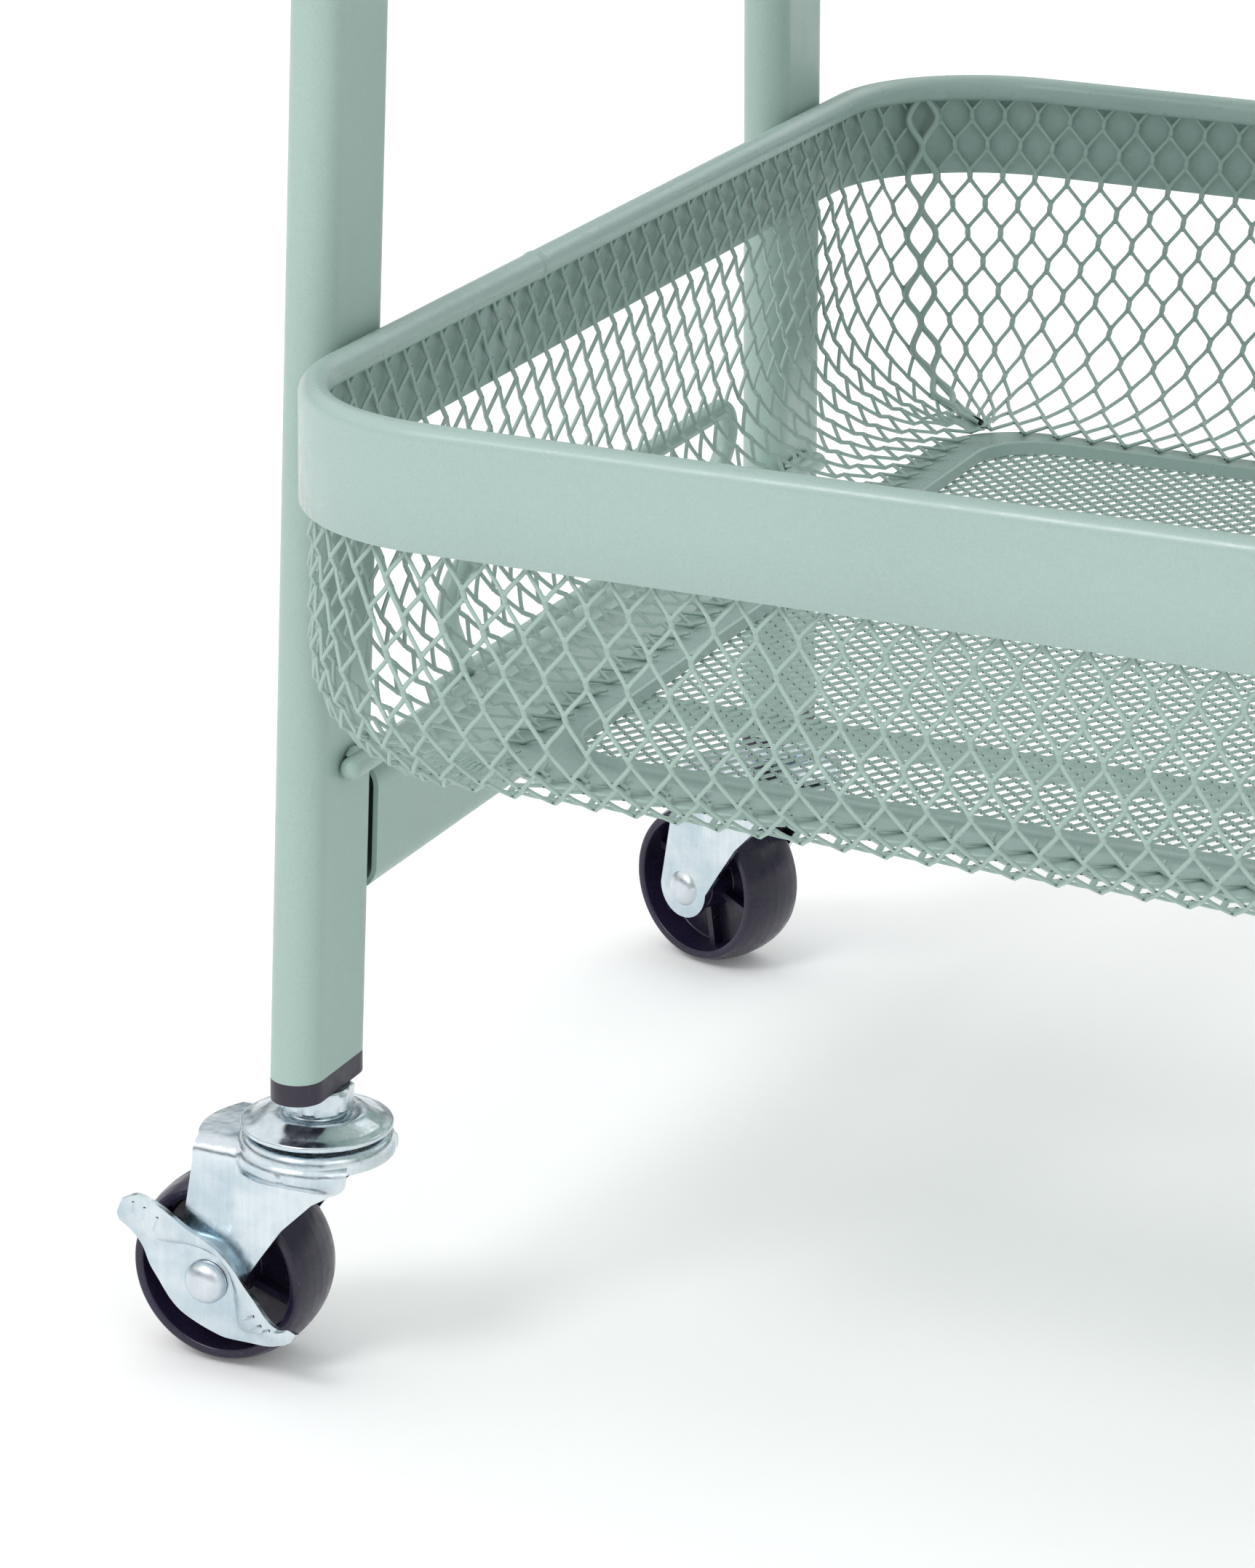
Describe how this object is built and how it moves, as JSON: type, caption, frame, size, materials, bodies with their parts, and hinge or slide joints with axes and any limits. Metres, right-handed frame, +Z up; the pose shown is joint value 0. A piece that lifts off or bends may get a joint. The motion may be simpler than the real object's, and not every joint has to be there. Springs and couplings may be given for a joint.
{
  "type": "rolling basket trolley",
  "caption": "Tall trolley with leaning arch side frames of flat-oval tube, stacked mesh baskets with solid rims, and swivel casters, some with a foot brake.",
  "frame": {"origin": "on the floor, under the middle of the trolley's outline", "axes": "+X along the long side of the baskets, +Y to the back, +Z up"},
  "size_m": [0.523, 0.372, 0.8],
  "materials": {
    "frame_paint": "satin powder coat",
    "rod_paint": "satin powder coat",
    "basket_paint": "satin powder coat",
    "basket_mesh": "satin powder coat",
    "cap_plastic": "satin",
    "wheel_plastic": "moulded gloss",
    "zinc": "bright zinc plate",
    "rivet_steel": "bright zinc plate",
    "ball_steel": "polished"
  },
  "bodies": {
    "frame": {"basket_band_lower": "basket_paint", "basket_band_middle": "basket_paint", "basket_band_upper": "basket_paint", "basket_floor_mesh_lower": "basket_mesh", "basket_floor_mesh_middle": "basket_mesh", "basket_floor_mesh_upper": "basket_mesh", "basket_floor_ring_lower": "basket_paint", "basket_floor_ring_middle": "basket_paint", "basket_floor_ring_upper": "basket_paint", "basket_wall_lower": "basket_mesh", "basket_wall_middle": "basket_mesh", "basket_wall_upper": "basket_mesh", "caster_balls": "ball_steel", "caster_stems": "zinc", "caster_top_cups": "zinc", "crossbar_left_lower": "frame_paint", "crossbar_left_middle": "frame_paint", "crossbar_left_upper": "frame_paint", "crossbar_right_lower": "frame_paint", "crossbar_right_middle": "frame_paint", "crossbar_right_upper": "frame_paint", "hanger_base_rods": "rod_paint", "hanger_loop_left_lower": "rod_paint", "hanger_loop_left_middle": "rod_paint", "hanger_loop_left_upper": "rod_paint", "hanger_loop_right_lower": "rod_paint", "hanger_loop_right_middle": "rod_paint", "hanger_loop_right_upper": "rod_paint", "post_end_caps": "cap_plastic", "side_frame_left": "frame_paint", "side_frame_right": "frame_paint", "stretcher_rod": "rod_paint", "support_rod_left_lower": "rod_paint", "support_rod_left_middle": "rod_paint", "support_rod_left_upper": "rod_paint", "support_rod_right_lower": "rod_paint", "support_rod_right_middle": "rod_paint", "support_rod_right_upper": "rod_paint"},
    "swivel_front_left": {"caster_fork_front_left": "zinc", "axle_rivet_front_left": "rivet_steel"},
    "wheel_front_left": {"wheel_front_left": "wheel_plastic", "wheel_bush_front_left": "rivet_steel"},
    "brake_front_left": {"brake_lever_front_left": "zinc"},
    "swivel_front_right": {"caster_fork_front_right": "zinc", "axle_rivet_front_right": "rivet_steel"},
    "wheel_front_right": {"wheel_front_right": "wheel_plastic", "wheel_bush_front_right": "rivet_steel"},
    "brake_front_right": {"brake_lever_front_right": "zinc"},
    "swivel_rear_left": {"caster_fork_rear_left": "zinc", "axle_rivet_rear_left": "rivet_steel"},
    "wheel_rear_left": {"wheel_rear_left": "wheel_plastic", "wheel_bush_rear_left": "rivet_steel"},
    "swivel_rear_right": {"caster_fork_rear_right": "zinc", "axle_rivet_rear_right": "rivet_steel"},
    "wheel_rear_right": {"wheel_rear_right": "wheel_plastic", "wheel_bush_rear_right": "rivet_steel"}
  },
  "joints": [
    {"name": "swivel_front_left", "type": "hinge", "parent": "frame", "child": "swivel_front_left", "pos_m": [-0.219, -0.133, 0.056], "axis": [0, 0, 1], "continuous": true},
    {"name": "roll_front_left", "type": "hinge", "parent": "swivel_front_left", "child": "wheel_front_left", "pos_m": [-0.2395, -0.133, 0.022], "axis": [0, -1, 0], "continuous": true},
    {"name": "brake_front_left", "type": "hinge", "parent": "swivel_front_left", "child": "brake_front_left", "pos_m": [-0.2395, -0.133, 0.022], "axis": [0, -1, 0], "range_deg": [0, 28]},
    {"name": "swivel_front_right", "type": "hinge", "parent": "frame", "child": "swivel_front_right", "pos_m": [0.219, -0.133, 0.056], "axis": [0, 0, 1], "continuous": true},
    {"name": "roll_front_right", "type": "hinge", "parent": "swivel_front_right", "child": "wheel_front_right", "pos_m": [0.2395, -0.133, 0.022], "axis": [0, 1, 0], "continuous": true},
    {"name": "brake_front_right", "type": "hinge", "parent": "swivel_front_right", "child": "brake_front_right", "pos_m": [0.2395, -0.133, 0.022], "axis": [0, 1, 0], "range_deg": [0, 28]},
    {"name": "swivel_rear_left", "type": "hinge", "parent": "frame", "child": "swivel_rear_left", "pos_m": [-0.219, 0.133, 0.056], "axis": [0, 0, 1], "continuous": true},
    {"name": "roll_rear_left", "type": "hinge", "parent": "swivel_rear_left", "child": "wheel_rear_left", "pos_m": [-0.2382, 0.14018, 0.022], "axis": [-0.3502, -0.9367, 0], "continuous": true},
    {"name": "swivel_rear_right", "type": "hinge", "parent": "frame", "child": "swivel_rear_right", "pos_m": [0.219, 0.133, 0.056], "axis": [0, 0, 1], "continuous": true},
    {"name": "roll_rear_right", "type": "hinge", "parent": "swivel_rear_right", "child": "wheel_rear_right", "pos_m": [0.2382, 0.14018, 0.022], "axis": [-0.3502, 0.9367, 0], "continuous": true}
  ]
}
